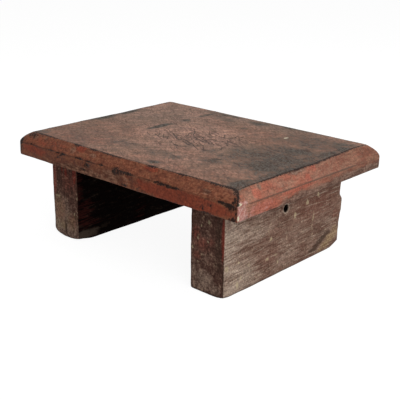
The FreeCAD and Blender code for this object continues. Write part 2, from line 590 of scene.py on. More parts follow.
def seat():
    """The seat plank with its trenches."""
    plank = smooth_object("seat_plank_worn", *seat_shape())
    foot = UNDERSIDE - CUTTER_REACH
    back = HALF_DEPTH + CUTTER_REACH
    for low, high in ((LEFT_LOW, LEFT_HIGH), (RIGHT_LOW, RIGHT_HIGH)):
        trench = dovetail_bar(low, high, TRENCH_DEPTH, foot, back)
        joined(plank, trench, "DIFFERENCE")
    seat_fields(plank)
    return plank


# Marks on the seat, each (centre, radii, strength)

# Dirt that lies on the plank without a knock under it
SEAT_DIRT = [
    ((-109, -154, 133.0), (4, 2, 1.5), 0.9), ((-115, -154, 130.0), (4, 2, 1.7), 0.8),
    ((-121, -154, 126.0), (3.4, 2, 2.2), 0.75), ((-199, -153, 137.5), (10, 9, 8), 1.3),
    ((-199.5, -153, 126.0), (5, 6, 13), 1.0), ((193.5, -154, 133.5), (4.5, 3, 4), 1.2),
    ((192, -149, 141.0), (3.5, 4, 6), 1.0), ((187.5, -144, 147.0), (3, 4, 4), 0.9),
    ((-179, -146, 147.0), (15, 8, 5), 0.75), ((192, -154, 118.5), (8, 3, 2.4), 1.0),
    ((154, -154, 118.0), (12, 2, 1.8), 0.8),
]

# On the top, by X and Y
TOP_MARKS = {
    "grime": [
        ((176, 95), (10, 17), 1.3), ((174, 58), (13, 26), 1.0), ((172, 20), (16, 34), 0.85),
        ((167, -90), (12, 12), 0.35), ((-70, -19), (10, 8), 0.3), ((29, 5), (10, 8), 0.3),
        ((112, -8), (58, 42), 0.75), ((150, -44), (46, 38), 1.0), ((148, -5), (54, 44), 1.0),
        ((142, 38), (60, 30), 0.85), ((88, -46), (36, 18), 0.55), ((184, -30), (17, 96), 1.1),
        ((180, -122), (20, 34), 0.95), ((182, 98), (9, 20), 0.8), ((140, 70), (8, 10), 0.7),
        ((135, 85), (80, 50), 0.42), ((168, 104), (26, 30), 0.75), ((150, -78), (46, 14), 0.42),
        ((84, 74), (24, 18), 0.42), ((84, -72), (28, 12), 0.45), ((92, 82), (12, 9), 0.6),
        ((112, 104), (12, 9), 0.5), ((-83, 11), (8, 32), 1.4), ((-82, 64), (9, 11), 0.8),
        ((-82, 108), (8, 26), 0.8), ((-184, 42), (12, 26), 1.2), ((-183, -12), (13, 32), 1.2),
        ((-112, -29), (9, 8), 0.5), ((-48, -90), (30, 14), 0.5), ((-31, -100), (20, 10), 0.45),
        ((14, -93), (36, 16), 0.5), ((40, -127), (12, 8), 0.95), ((88, -61), (11, 7), 0.7),
        ((46, -92), (14, 10), 0.5), ((58, -40), (16, 26), 0.5), ((13, 87), (7, 6), 0.7),
        ((-15, 51), (7, 6), 0.6), ((8, 124), (22, 12), 0.75), ((-48, 112), (34, 14), 0.65),
        ((-70, 132), (44, 10), 0.7), ((60, 138), (64, 9), 0.5), ((-180, -132), (22, 11), 0.6),
    ],
    "grey": [
        ((62, -14), (62, 52), 0.6), ((-20, -84), (110, 24), 0.4), ((-130, 70), (100, 110), 0.8),
        ((0, 128), (220, 34), 0.7),
    ],
    "rose": [
        ((-18, 0), (92, 84), 1.8), ((20, -90), (190, 66), 0.6), ((-140, 96), (110, 70), 0.6),
    ],
    "cuts": [
        ((2, 6), (72, 42), 0.7), ((46, 20), (50, 38), 0.5),
    ],
    "red": [
        ((-116, -100), (90, 60), 0.8), ((-150, -20), (40, 60), 0.45), ((130, 95), (80, 56), 0.8),
        ((70, -125), (80, 20), 0.6), ((130, -112), (60, 30), 0.6), ((60, 70), (50, 50), 0.5),
    ],
    "chip_and_highlight": [
        ((87.2, 87.4), (2.2, 5.4), 1.0),
    ],
}

# Deeper single cuts in the middle of the top, each (start, end, half width)
TOP_SCORES = [
    ((-71, -28), (-61, -34), 1.0), ((-56, -26), (-43, -33), 1.6), ((-43, -33), (-60, -14), 0.9),
    ((-48, -19), (-34, -32), 1.1), ((-40, -35), (-31, -40), 1.0), ((-35, -23), (-26, -34), 1.1),
    ((-38, -9), (-21, -20), 1.2), ((-28, -10), (-23, -19), 0.9), ((-20, -22), (-11, -26), 1.2),
    ((-18, -16), (-9, -24), 1.0), ((-14, -16), (-8, -20), 1.2), ((-17, -37), (16, -58), 0.8),
    ((1, -46), (12, -52), 1.4), ((-23, -2), (-15, -6), 1.8), ((-17, -4), (-25, 11), 1.3),
    ((-12, -9), (-4, -3), 3.6), ((-13, 0), (1, -13), 2.2), ((-17, 10), (4, -7), 2.0),
    ((-35, 32), (-18, 14), 1.0), ((-3, -28), (18, -36), 2.0), ((-3, -20), (14, -30), 1.6),
    ((10, -25), (37, -42), 1.0), ((16, -50), (19, -45), 1.8), ((6, -16), (30, -31), 0.9),
    ((2, -4), (24, -12), 2.2), ((18, -17), (38, -30), 1.0), ((2, 8), (11, -1), 1.4),
    ((13, 0), (33, -13), 3.4), ((-11, 37), (2, 23), 1.4), ((-5, 34), (11, 28), 1.5),
    ((11, 28), (26, 26), 1.2), ((5, 16), (12, 15), 1.4), ((19, 4), (22, 10), 2.4),
    ((26, -2), (40, -13), 1.8), ((30, 4), (35, 11), 3.6), ((35, 11), (43, 8), 2.0),
    ((43, 8), (57, -3), 1.6), ((16, 39), (26, 26), 1.4), ((38, 19), (48, 8), 1.1),
    ((37, 30), (33, 46), 1.8), ((37, -30), (48, -42), 1.2), ((62, -24), (58, -15), 2.2),
]

# On the sides, the ends and their bevels, along them and by height. The back and the left end have the
# same marks, turned round.
SIDE_MARKS = {
    "bare": [
        ((-76, 116), (84, 14), 1.2), ((-8, 126), (40, 12), 0.8), ((-172, 145), (7, 4), 0.9),
        ((-151, 146.5), (5, 3), 0.9), ((-90, 143), (7, 5), 0.85), ((-50, 144), (10, 3), 0.9),
        ((148, 141), (14, 3), 0.85),
    ],
    "red": [
        ((44, 131), (10, 5), 1.0), ((112, 126), (104, 12), 1.2), ((-165, 130), (38, 9), 0.8),
        ((-76, 147), (14, 5), 0.9), ((54, 147), (16, 4), 1.0), ((-140, 142), (60, 9), 0.5),
    ],
}
END_MARKS = {
    "bare": [
        ((90, 114), (176, 18), 1.3), ((-36, 120), (50, 9.5), 1.1), ((-104, 147), (5, 5), 0.8),
        ((-29, 148.5), (26, 4), 0.9), ((-72, 139), (14, 3), 0.5), ((20, 141), (8, 4), 0.5),
    ],
    "red": [
        ((4, 147), (10, 6), 0.8), ((-100, 124), (44, 13), 0.8), ((-40, 131.5), (56, 4), 0.95),
        ((70, 130), (36, 4), 0.3), ((-113, 142), (12, 9), 0.8), ((-143, 144), (10, 7), 0.6),
        ((-88, 144), (20, 8), 0.6), ((-14, 139), (9, 7), 0.9), ((112, 142), (44, 8), 0.25),
    ],
    # Pale worn paint by the near corner, with a painted highlight on it and along the corner's arrises
    "wax_and_highlight": [
        ((-150, 126), (17, 14), 0.95), ((-116, 124), (46, 13), 0.25), ((-140, 121), (15, 9), 0.7),
        ((-148, 137.5), (13, 4), 1.3), ((-153.5, 126), (2.6, 13), 1.3),
    ],
    # At the near corner the first chip is partly a painted highlight on the arris.
    "chip_and_highlight": [
        ((-151, 138.2), (4.5, 2.0), 1.1), ((-152.5, 122), (1.5, 4), 0.8),
    ],
}

# Half widths of the dirt along the upper arris, at places along each side
FRONT_LINE = [
    (-200, 1.7), (-136, 1.5), (-126, 0.5), (-96, 0.5), (-92, 2.6), (-84, 2.6), (-80, 0.7), (-60, 0.7),
    (-57, 2.6), (-50, 2.6), (-46, 1.3), (-2, 1.9), (4, 0.5), (44, 0.6), (48, 2.3), (58, 2.3),
    (62, 0.6), (92, 0.9), (98, 2.3), (104, 2.3), (110, 1.0), (140, 1.2), (148, 2.8), (200, 3.2),
]
RIGHT_LINE = [(-154, 0.5), (-110, 0.9), (-60, 1.7), (154, 1.3)]
BACK_LINE = [(-200, 0.9), (200, 0.9)]
LEFT_LINE = [(-154, 1.7), (154, 1.3)]
UPPER_LINE_INSET = 0.8

# Half widths of the dirt along the corners' mitres
MITRE_LINE = {(-1, -1): 1.0, (1, -1): 2.0, (-1, 1): 1.0, (1, 1): 0.4}
MITRE_SCALE = 10.0

# Half width of the dark line along the lower arris, how near the edge it stays, and its strength along each
# side
LOWER_LINE = 1.0
LOWER_LINE_REACH = 4.0
LOWER_SIDE_DARK_LINE = [
    (-200, 0.85), (-140, 0.75), (-100, 0.65), (60, 0.62), (110, 0.35), (165, 0.35), (200, 0.6),
]
LOWER_END_DARK_LINE = [(-154, 0.1), (-140, 0.15), (-130, 1.0), (50, 1.0), (110, 0.45), (154, 0.2)]

# Points farther in from the edges and down from the top than this are in a trench or on the underside
TRENCH_INSET = 6.0
TRENCH_DROP = 10.0


def nearest_score(plan):
    """How far the nearest single cut is, and how far to one side its line passes, in half widths."""
    gaps, offsets = [], []
    for start, end, width in TOP_SCORES:
        run = np.subtract(end, start)
        length = np.hypot(*run)
        from_middle = plan - np.add(start, end) / 2
        lengthwise = from_middle @ run / length
        beside = from_middle @ [-run[1], run[0]] / length
        gaps.append(np.hypot(np.maximum(np.abs(lengthwise) - length / 2, 0), beside))
        offsets.append(beside / width)
    nearest = np.argmin(gaps, axis=0)
    every = np.arange(len(plan))
    return np.array(gaps)[nearest, every], np.array(offsets)[nearest, every]


def edge_dirt(points, along_side, along_end):
    """The dirt along the plank's upper arris and its mitres, and the dark line along its lower arris."""
    x, y, z = points.T
    from_end = HALF_LENGTH - np.abs(x)
    from_side = HALF_DEPTH - np.abs(y)
    end_inset, side_inset = insets(x, y)
    drop = perimeter(FRONT_DROP, RIGHT_DROP, BACK_DROP, LEFT_DROP, points)
    to_upper = np.abs(np.minimum(from_end - end_inset, from_side - side_inset) - UPPER_LINE_INSET)
    upper = fading(to_upper, perimeter(FRONT_LINE, RIGHT_LINE, BACK_LINE, LEFT_LINE, points))
    for (way_x, way_y), width in MITRE_LINE.items():
        at_corner = (way_x * x > 0) & (way_y * y > 0) & (from_end < end_inset) & (from_side < side_inset)
        at_corner &= z > TOP - drop - LOWER_LINE
        to_mitre = MITRE_SCALE * np.abs(from_end / end_inset - from_side / side_inset)
        upper = np.maximum(upper, fading(np.where(at_corner, to_mitre, FAR), width))

    near_edge = np.minimum(from_end, from_side) < LOWER_LINE_REACH
    to_lower = np.where(near_edge, np.abs(z - TOP + drop), FAR)
    end_dark_line = along(LOWER_END_DARK_LINE, along_end[:, 0])
    side_dark_line = along(LOWER_SIDE_DARK_LINE, along_side[:, 0])
    lower = np.where(from_end < from_side, end_dark_line, side_dark_line) * fading(to_lower, LOWER_LINE)
    return upper, lower


def seat_fields(plank):
    """Where the plank's paint is worn, grimy, cut or fresh, and where highlights are painted at the near
    corner, for its material.
    """
    points, normals = mesh_points(plank)
    x, y, z = points.T
    plan = points[:, :2]
    turned = np.where((normals[:, 1] > 0.5) | (normals[:, 0] < -0.5), -1, 1)
    along_side = np.stack([x * turned, z], -1)
    along_end = np.stack([y * turned, z], -1)
    on_top = smoothstep(*FACES_UP, normals[:, 2])
    on_side = smoothstep(*SEAT_FACES_OUT, np.abs(normals[:, 1]))
    on_end = smoothstep(*SEAT_FACES_OUT, np.abs(normals[:, 0]))
    on_under = smoothstep(*FACES_DOWN, -normals[:, 2])
    from_edge = np.minimum(HALF_LENGTH - np.abs(x), HALF_DEPTH - np.abs(y))
    in_trench = (from_edge > TRENCH_INSET) & (z < TOP - TRENCH_DROP)

    upper_dirt, lower_dark_line = edge_dirt(points, along_side, along_end)
    score_gap, score_offset = nearest_score(plan)
    fields = mark_fields([
        (on_top, plan, TOP_MARKS),
        (on_side, along_side, SIDE_MARKS),
        (on_end, along_end, END_MARKS),
    ])
    set_fields(plank, fields | {
        "top": on_top,
        "end": on_end,
        "under": np.maximum(on_under, in_trench * (1 - on_top)),
        "dirt": np.maximum(upper_dirt, marks(points, SEAT_GOUGES + SEAT_DIRT)),
        "line": lower_dark_line,
        "brown": on_end * smoothstep(-70, 150, along_end[:, 0]),
        "score_gap": score_gap + FAR * (1 - on_top),
        "score_offset": score_offset,
    })


# Paint of the seat

# The way the top was scrubbed, in degrees from X
SCRUB_ANGLE = -46.0


def seat_patterns(look):
    """The noises and fields that several of the seat's colours share."""
    seen = SimpleNamespace(top=look.field("top"), end=look.field("end"))
    seen.smudge = look.noise(22, 2, (1.8, 1, 1), detail=5)
    seen.blotch = look.noise(9, 3, detail=4)
    seen.speck = look.noise(4, 4, detail=3)
    seen.grit = look.noise(2.3, 5, detail=1)
    seen.brushed = look.mix(seen.end, look.noise(2.8, 6, (6, 1, 1)), look.noise(2.4, 7, (1, 7, 1)))
    seen.scrubbed = look.noise(2.6, 8, (2.4, 1, 1), detail=2, turn=across_top(SCRUB_ANGLE))
    seen.flecks = look.total((seen.blotch, 0.3), (seen.speck, 0.45), (seen.grit, 0.25))
    seen.streaks = look.total((seen.brushed, 0.4), (seen.blotch, 0.35), (seen.speck, 0.25))
    seen.fresh = look.ragged(look.field("red"), seen.streaks, 2.4, 0.25)
    return seen


def side_paint(look, seen):
    """The red of the sides, the ends and the bevels, browner to the back, with olive and dark flecks."""
    end = seen.end
    flakes = look.total((look.noise(13, 11, (1, 1.7, 1), detail=5), 0.7), (seen.brushed, 0.3))
    front = look.between(seen.streaks, 0.34, 0.66, colour(106, 58, 42), colour(144, 88, 64))
    ends = look.between(flakes, 0.43, 0.57, colour(147, 88, 69), colour(142, 100, 82))
    brown = look.between(flakes, 0.43, 0.57, colour(102, 62, 46), colour(118, 80, 61))
    ends = look.mix(look.field("brown"), ends, brown, 0.85)
    sides = look.mix(end, front, ends)
    olive = look.step(look.total((seen.speck, 0.7), (seen.smudge, 0.3)), 0.52, 0.6)
    sides = look.mix(olive, sides, look.mix(end, colour(118, 92, 66), colour(140, 114, 92)), 0.3)
    flecked = look.mix(end, colour(88, 56, 43), colour(60, 48, 41))
    sides = look.mix(look.step(seen.flecks, 0.58, 0.65), sides, flecked, 0.45)
    sides = look.mix(seen.fresh, sides, look.mix(end, colour(137, 60, 41), colour(155, 82, 64)), 0.75)
    sides = look.shaded(sides, look.mix(end, seen.speck, seen.brushed), 0.3)
    return look.shaded(sides, seen.grit, 0.34)


def top_paint(look, seen):
    """The dusty paint of the top, scrubbed and scratched across."""
    scratches = look.hairs(look.noise(8, 9, (6, 1, 1), detail=1, turn=across_top(SCRUB_ANGLE)), 0.05)
    wipes = look.noise(15, 10, (2.4, 1, 1), detail=4, turn=across_top(SCRUB_ANGLE + 88))
    smears = look.noise(24, 12, (2.2, 1, 1), detail=4, turn=across_top(SCRUB_ANGLE + 80))
    flat = look.between(seen.smudge, 0.38, 0.62, colour(143, 101, 81), colour(174, 127, 105))
    flat = look.mix(look.field("grey"), flat, colour(144, 121, 106), 0.8)
    flat = look.mix(look.field("rose"), flat, colour(192, 146, 126), 0.75)
    flat = look.mix(seen.fresh, flat, colour(126, 82, 66), 0.6)
    flat = look.mix(look.step(smears, 0.46, 0.62), flat, colour(126, 100, 80), 0.4)
    flat = look.mix(look.hairs(wipes, 0.08), flat, colour(84, 66, 54), 0.4)
    flat = look.shaded(flat, seen.scrubbed, 0.62)
    flat = look.shaded(flat, look.total((seen.blotch, 0.4), (seen.speck, 0.6)), 0.3)
    return look.mix(scratches, flat, colour(84, 62, 52), 0.3)


def seat_wood(look, seen):
    """The wood where the paint is gone."""
    dark = look.mix(seen.end, colour(80, 51, 40), colour(72, 54, 46))
    pale = look.mix(seen.end, colour(150, 109, 88), colour(132, 107, 93))
    return look.shaded(look.between(seen.streaks, 0.42, 0.58, dark, pale), seen.grit, 0.4)


def seat_grime(look, seen, base):
    """A colour under the top's grime, a brown veil that is black where thickest, and the black's share."""
    field = look.field("grime")
    mottle = look.total((seen.smudge, 0.3), (seen.scrubbed, 0.4), (seen.blotch, 0.3))
    smutty = look.total((seen.scrubbed, 0.5), (seen.grit, 0.5))
    veil = look.maths("MULTIPLY", seen.top, look.ragged(field, mottle, 3.0, 1.0))
    base = look.mix(veil, base, colour(89, 81, 69), 0.75)
    grime = look.maths("MULTIPLY", seen.top, look.ragged(field, mottle, 6.0, 0.4))
    black = look.between(smutty, 0.4, 0.6, colour(38, 37, 35), colour(96, 94, 90))
    return look.mix(grime, base, black, 0.75), grime


def top_scores(look):
    """The deeper single cuts, each wandering a little to both sides of its line."""
    wander = look.noise(7, 31, detail=2)
    offset = look.total((look.field("score_offset"), 1.0), (wander, 5.0), (1.0, -2.0))
    return look.maths("MULTIPLY", look.hairs(offset, 1.0), look.step(look.field("score_gap"), 3.0, 1.0))


def seat_paint():
    """Old red paint: dusty on the flat top, redder on the sides, worn to the wood and grimy in places, with a
    painted highlight at the near corner.
    """
    look = Look("painted_seat_wood")
    seen = seat_patterns(look)
    base = look.mix(seen.top, side_paint(look, seen), top_paint(look, seen))
    base = look.shaded(base, look.noise(60, 1), 0.1)

    bare = look.patches(look.field("bare"), seen.streaks, 2.6, 0.25)
    base = look.mix(bare, base, seat_wood(look, seen), 0.85)
    # Pale worn paint by the near corner, lightened further as a painted highlight
    wax_and_highlight_patches = look.patches(look.field("wax_and_highlight"), seen.streaks, 2.6, 0.5)
    wax_and_highlight = look.between(seen.flecks, 0.42, 0.58, colour(170, 108, 97), colour(208, 168, 162))
    base = look.mix(wax_and_highlight_patches, base, wax_and_highlight, 0.7)

    base, grime = seat_grime(look, seen, base)
    cuts = look.cuts(look.field("cuts"), 21, SCRUB_ANGLE + 14)
    cuts = look.maths("MAXIMUM", cuts, look.cuts(look.field("cuts"), 25, SCRUB_ANGLE + 24))
    base = look.mix(cuts, base, colour(70, 48, 40), 0.7)
    scores = top_scores(look)
    base = look.mix(scores, base, colour(40, 31, 27), 0.76)
    # Pale chips; at the near corner, partly a painted highlight
    base = look.mix(look.step(look.field("chip_and_highlight"), 0.2, 0.4), base, colour(205, 192, 165))

    line = look.ragged(look.field("line"), seen.brushed, 1.6, 0.3)
    base = look.mix(line, base, look.mix(seen.end, colour(46, 32, 27), colour(82, 62, 52)), 0.8)
    combed = look.noise(1.7, 13, (1, 1, 4), detail=1)
    dirt = look.patches(look.field("dirt"), look.total((combed, 0.6), (seen.grit, 0.4)), 3.2, 0.2)
    soil = look.between(seen.speck, 0.35, 0.65, colour(20, 9, 6), colour(48, 33, 27))
    base = look.mix(dirt, base, soil, 0.95)
    under = look.between(seen.brushed, 0.3, 0.7, colour(46, 34, 28), colour(82, 62, 50))
    base = look.mix(look.field("under"), base, under)

    worn_rough = look.maths("MAXIMUM", bare, grime)
    roughness = look.total((worn_rough, 0.2), (seen.speck, 0.25), (seen.top, 0.08), (1.0, 0.38))
    raised = [(seen.brushed, 0.25), (seen.speck, 0.3), (seen.blotch, 0.5)]
    sunk = [(bare, -0.3), (dirt, -0.4), (cuts, -0.3), (scores, -0.5)]
    return look.finish(base, roughness, look.total(*raised, *sunk), gloss=0.1)


# Shape of the legs

# A foot's edges, as round_edge takes them
FLOOR_EDGE = (2, 0.0, -1)
FRONT_EDGE = (1, LEG_FRONT, -1)

# How much the legs' edges are rubbed, and how far from them
LEG_RUB = 0.08
LEG_RUB_REACH = 3.0

# Depths of the legs' waves: long ones on the left and the right leg, and fine ones along the grain
LEFT_WAVES = 0.4
RIGHT_WAVES = 0.35
FINE_WAVES = 0.15
FINE_STRETCH = [1, 0.2, 1]

# Radii of the feet's edges, of the left leg's toe and of the arris above it
FOOT_RADIUS = 1.5
INNER_FOOT_RADIUS = 4.0
TOE_RADIUS = 4.0
TOE_ARRIS_RADIUS = 3.0

# How far the left leg's toe is worn off the floor, at places along X, and how far up and back that reaches
TOE_LIFT = [
    (-160.8, 13.0), (-158.5, 8.0), (-155.5, 4.4), (-150, 2.2),
    (-140, 0.6), (-126, 0.5), (-116.6, 1.8), (-107.3, 4.2),
]
TOE_HEIGHT = 30.0
TOE_LENGTH = 28.0

# How far the right leg's heel is off the floor, at places along Y, and the shares of that at its inner side
# and added towards its outer side
HEEL_LIFT = [(-30, 0), (40, 0.7), (94, 0.9), (104, 1.6), (122, 7.8), (130, 8.0)]
HEEL_INNER = 0.45
HEEL_ADDED = 0.55

# The knock on the right leg's outer toe
TOE_KNOCK = 1.8
TOE_KNOCK_REACH = 7.0

# How far the right leg's back end stands out, at places up it, how rough it is, and how far in that reaches
BACK_END = [(0, 0), (30, 0), (38, 1.2), (50, 4.0), (67, 4.2), (74, -1.2), (95, -1.0), (117, 0)]
BACK_ROUGHNESS = 0.7
BACK_LENGTH = 25.0

# The cord hole's worn rim, how far from the hole's wall the wood is bare, and how far in it is painted
# near-black as shade
HOLE_RIM = 1.2
HOLE_BARE = HOLE_RIM + 1
HOLE_WALL = 0.2


def leg_shape(low, high):
    """A leg's points and quads below the seat, as a plain slab, and each point's distance to an edge."""
    xs = spaced(low[0], high[0], LEG_STEP)
    ys = spaced(LEG_FRONT, LEG_BACK, LEG_STEP)
    zs = spaced(0, UNDERSIDE, LEG_STEP)
    points, quads = box_skin(xs, ys, zs)
    x, y, z = points.T
    gaps = np.stack([np.minimum(x - low[0], high[0] - x), np.minimum(y - LEG_FRONT, LEG_BACK - y), z], -1)
    gaps.sort(axis=1)
    return points, quads, gaps[:, 1]


def leg_rub(points, edge, seed):
    """How much a leg is rubbed at each point: most along its edges, and unevenly."""
    return LEG_RUB * fading(edge, LEG_RUB_REACH) * (1 + 0.8 * rough(points, 15, seed))


def leg_surface(points, quads, rub, waves, seed):
    """The points of a rubbed and wavy leg, with none below the floor, so that the foot stands flat."""
    points = worn(points, quads, rub)
    normals = face_normals(points, quads)
    waver = waves * rough(points, 50, seed) + FINE_WAVES * rough(points * FINE_STRETCH, 6, seed + 1)
    return np.maximum(points + normals * waver[:, None], [-np.inf, -np.inf, 0])


def leg_object(name, points, quads, low, high):
    """A leg with the dovetail tongue on its top."""
    leg = smooth_object(name, points, quads)
    tongue = dovetail_bar(low, high, TONGUE_TOP - UNDERSIDE, UNDERSIDE - TONGUE_ROOT, LEG_BACK)
    joined(leg, tongue, "UNION")
    return leg


def left_leg():
    """The leg under the left end, with its toe worn round."""
    points, quads, edge = leg_shape(LEFT_LOW, LEFT_HIGH)
    x, y, z = points.T
    rub = leg_rub(points, edge, 21)
    lift = along(TOE_LIFT, x) * (1 - smoothstep(0, TOE_LENGTH, y - LEG_FRONT))
    for place, way in ((LEFT_LOW[0], -1), (LEFT_HIGH[0], 1)):
        round_edge(points, (0, place, way), FLOOR_EDGE, FOOT_RADIUS)
    round_edge(points, FRONT_EDGE, FLOOR_EDGE, TOE_RADIUS)
    round_edge(points, FRONT_EDGE, (0, LEFT_LOW[0], -1), TOE_ARRIS_RADIUS)
    points[:, 2] += lift * np.clip(1 - z / TOE_HEIGHT, 0, 1)
    points = leg_surface(points, quads, rub, LEFT_WAVES, 22)
    leg = leg_object("left_leg_worn", points, quads, LEFT_LOW, LEFT_HIGH)
    leg_fields(leg, -1, {name: RIGHT_SIDE[name] for name in ("bare", "red")}, LEFT_FRONT)
    return leg


def right_leg():
    """The leg under the right end, with its rough back end, broken heel and cord hole."""
    points, quads, edge = leg_shape(RIGHT_LOW, RIGHT_HIGH)
    x, y, z = points.T
    thickness = RIGHT_HIGH[0] - RIGHT_LOW[0]
    rub = leg_rub(points, edge, 31)
    near_back = smoothstep(LEG_BACK - BACK_LENGTH, LEG_BACK, y)
    from_toe = np.hypot(x - RIGHT_HIGH[0], y - LEG_FRONT)
    lift = along(HEEL_LIFT, y) * (HEEL_INNER + HEEL_ADDED * ((x - RIGHT_LOW[0]) / thickness))
    lift += TOE_KNOCK * fading(from_toe, TOE_KNOCK_REACH)
    round_edge(points, (0, RIGHT_LOW[0], -1), FLOOR_EDGE, INNER_FOOT_RADIUS)
    round_edge(points, (0, RIGHT_HIGH[0], 1), FLOOR_EDGE, FOOT_RADIUS)
    round_edge(points, FRONT_EDGE, FLOOR_EDGE, FOOT_RADIUS)
    points = points + np.stack([
        np.zeros_like(x),
        near_back * (along(BACK_END, z) + BACK_ROUGHNESS * rough(points, 7, 34)),
        lift * (1 - z / UNDERSIDE),
    ], -1)
    points = leg_surface(points, quads, rub, RIGHT_WAVES, 32)
    leg = leg_object("right_leg_worn", points, quads, RIGHT_LOW, RIGHT_HIGH)
    joined(leg, drill(HOLE_PLACE, HOLE_RADIUS, HOLE_RIM, thickness), "DIFFERENCE")
    leg_fields(leg, 1, RIGHT_SIDE, RIGHT_FRONT)
    return leg


# Marks on the legs, each (centre, radii, strength). On a side they are given by Y and Z, on a front by X
# and Z. The left leg's outer side has the right one's bare and red marks.
RIGHT_SIDE = {
    "bare": [
        # The bare and red marks at (-56, 93) are partly painted light: they lighten the side where the seat
        # shades it.
        ((-88, 66), (14, 8), 0.75), ((-17, 29), (14, 8), 0.35), ((-56, 93), (36, 8), 0.55),
        ((-122, 78), (48, 60), 0.9), ((-108, 15), (58, 38), 0.9), ((-66, 70), (40, 16), 0.6),
        ((20, 13), (24, 9), 0.4), ((-112, 102), (22, 12), 1.0), ((-4, 18), (30, 14), 0.45),
    ],
    "red": [
        ((-56, 93), (36, 8), 0.5), ((62, 80), (80, 34), 0.85), ((-20, 60), (70, 26), 0.4),
        ((-35, 30), (34, 22), 0.55), ((10, 12), (60, 16), 0.4), ((112, 48), (14, 16), 0.9),
        ((-119, 95), (8, 10), 0.5),
    ],
    "raw": [
        ((112, 25), (11, 11), 0.75), ((102, 18), (16, 9), 1.0), ((90, 10.5), (15, 7), 1.0),
        ((78, 6), (9, 4), 0.8),
    ],
    "stain_and_shade": [
        ((-4, 55), (12, 7), 0.35), ((99, 46), (10, 8), 0.3), ((-96, 8), (14, 6), 0.3),
        ((-81, 28), (12, 10), 0.35), ((60, 10.5), (14, 4), 1.2), ((67, 14.5), (10, 5), 1.1),
        ((76, 19), (10, 5), 1.25), ((84, 23), (10, 5), 1.2), ((93, 27), (11, 5), 1.0),
        ((66, 42), (18, 9), 0.4), ((79, 33), (18, 8), 0.5), ((-96, 54), (26, 5), 0.3),
        # The last stain here, at (-30, 116), is painted shade under the seat's overhang.
        ((-64, 60), (22, 6), 0.25), ((-30, 116), (100, 8), 0.3),
    ],
    "pale": [
        ((40.8, 85.2), (3.6, 4.6), 1.1), ((65.7, 89.9), (2.6, 4.6), 0.9), ((14, 73.6), (4, 7), 1.0),
        ((-35.4, 54), (4, 3.2), 1.1), ((-42.5, 28.2), (3.6, 2.8), 1.0), ((-19, 18.5), (2.6, 2.6), 1.2),
        ((-24.5, 28.6), (3, 2), 0.8), ((-81, 32), (2.6, 2.6), 0.9), ((-100, 41), (2.4, 2.4), 1.0),
        ((-123, 39.5), (4.5, 6), 0.9), ((-95, 19), (2.4, 4), 0.8), ((-102, 12), (3.4, 7), 1.2),
        ((56.4, 63), (1.6, 13), 0.6), ((55, 38), (1.6, 24), 0.45),
    ],
}
RIGHT_FRONT = {
    "bare": [
        ((130, 17), (18, 18), 1.0), ((120, 6), (16, 12), 0.7), ((111, 28), (8, 16), 0.7),
        ((147, 9), (12, 11), 0.7), ((122, 60), (20, 40), 0.22),
    ],
    "red": [
        ((116, 76), (10, 14), 0.6), ((126, 64), (18, 14), 0.5), ((118, 48), (10, 9), 0.5),
        ((141, 70), (7, 8), 0.35), ((158.8, 78), (3.0, 34), 1.6),
    ],
    "stain_and_shade": [
        ((152, 66), (9, 52), 0.75), ((160.5, 20), (1.8, 34), 1.3),
    ],
    "pale": [
        ((136.5, 95), (3, 3.4), 1.0), ((124, 88), (2, 2.6), 0.9), ((119, 73), (2.4, 6), 0.7),
        ((135, 69.3), (2, 3), 0.7), ((110, 56.5), (2.4, 3), 1.2), ((125, 50), (1.8, 1.8), 0.8),
        ((118.6, 40.4), (2, 2), 0.8),
    ],
}
LEFT_FRONT = {
    "bare": [
        ((-146, 24), (34, 46), 1.0), ((-128, 10), (34, 30), 0.8), ((-156.5, 84), (7, 34), 1.2),
    ],
    "red": [
        ((-131, 101), (2.6, 12), 1.5), ((-139, 103), (2.2, 9), 1.2), ((-113, 100), (4.4, 18), 1.7),
        ((-156, 84), (6, 30), 1.2), ((-152, 98), (7, 16), 0.4), ((-125, 86), (24, 24), 0.4),
        ((-146, 38), (18, 30), 0.45), ((-121, 28), (14, 16), 0.45),
    ],
    "raw": [
        ((-139, 20), (9, 10), 0.7), ((-146, 42), (16, 30), 0.42), ((-122, 28), (18, 20), 0.42),
    ],
    "stain_and_shade": [
        ((-134.6, 17), (1.5, 13), 2.0),
    ],
    "pale": [
        ((-114.7, 40.2), (1.8, 2.4), 1.2), ((-107.5, 65), (1.4, 3), 1.2), ((-107.5, 39), (1.4, 3), 1.2),
        ((-107.5, 23), (1.4, 2.4), 1.0), ((-150, 61), (8, 1.8), 1.1), ((-150, 18), (12, 10), 0.55),
    ],
}

# On the inner sides of both legs
INNER_MARKS = {
    "scuffed": [
        ((-116, 42), (24, 26), 0.6), ((-128, 80), (12, 44), 0.5), ((-112, 24), (32, 10), 0.5),
        ((-6, 20), (14, 26), 0.35),
    ],
    "dusty": [
        ((-2, 60), (5, 40), 0.3), ((-118, 8), (20, 9), 1.2), ((-104, 10), (18, 8), 0.9),
    ],
}

# Height of the foot's worn edge with painted contact shade along it, and how far down from the seat a leg is
# darkened by painted shade
FOOT_WEAR_AND_SHADE = 2.8
SEAT_SHADE_REACH = 4.0


